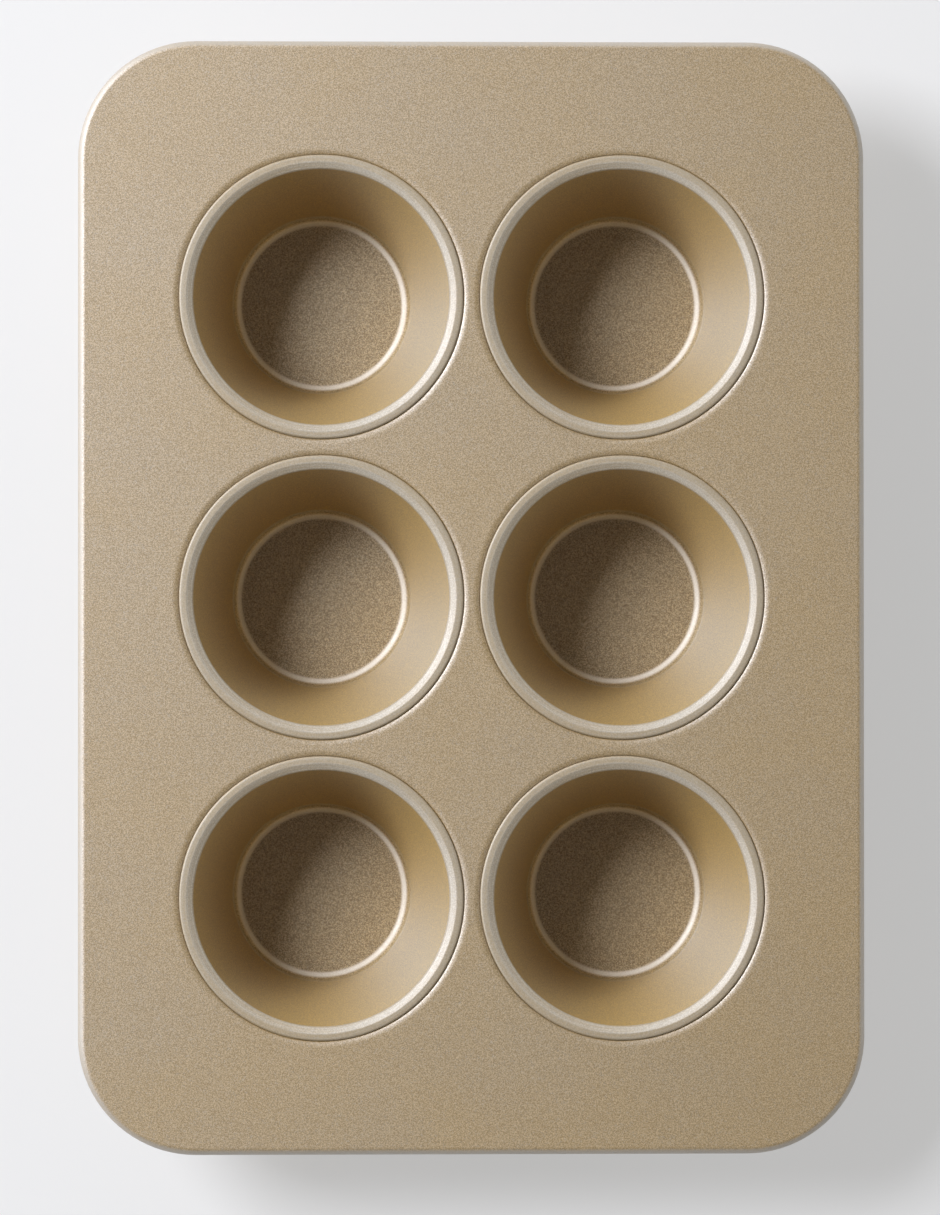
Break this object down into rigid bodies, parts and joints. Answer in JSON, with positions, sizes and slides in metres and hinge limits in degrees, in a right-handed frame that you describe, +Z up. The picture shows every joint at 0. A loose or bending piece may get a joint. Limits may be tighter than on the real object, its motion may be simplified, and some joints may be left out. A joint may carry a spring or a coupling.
{
  "type": "muffin pan",
  "caption": "Jumbo muffin pan: flat tray with rounded corners and a rolled, wired edge, and deep tapered cups whose brims are hooked round the turned-down edges of its holes.",
  "frame": {"origin": "on the ground under the middle of the pan, at the centre of the bottom of its box", "axes": "+Z up, +Y along the long side towards the back row of cups, +X along the short side to the right"},
  "size_m": [0.2826, 0.4, 0.0508],
  "materials": {
    "tray_coating": "satin gold non-stick coating with fine metallic grain",
    "cup_coating": "satin gold non-stick coating, smoother on the drawn walls",
    "wire_steel": "plain drawn wire"
  },
  "bodies": {
    "root": {"tray": "tray_coating", "rim_wire": "wire_steel", "cup_back_left": "cup_coating", "cup_back_right": "cup_coating", "cup_middle_left": "cup_coating", "cup_middle_right": "cup_coating", "cup_front_left": "cup_coating", "cup_front_right": "cup_coating"}
  },
  "joints": []
}
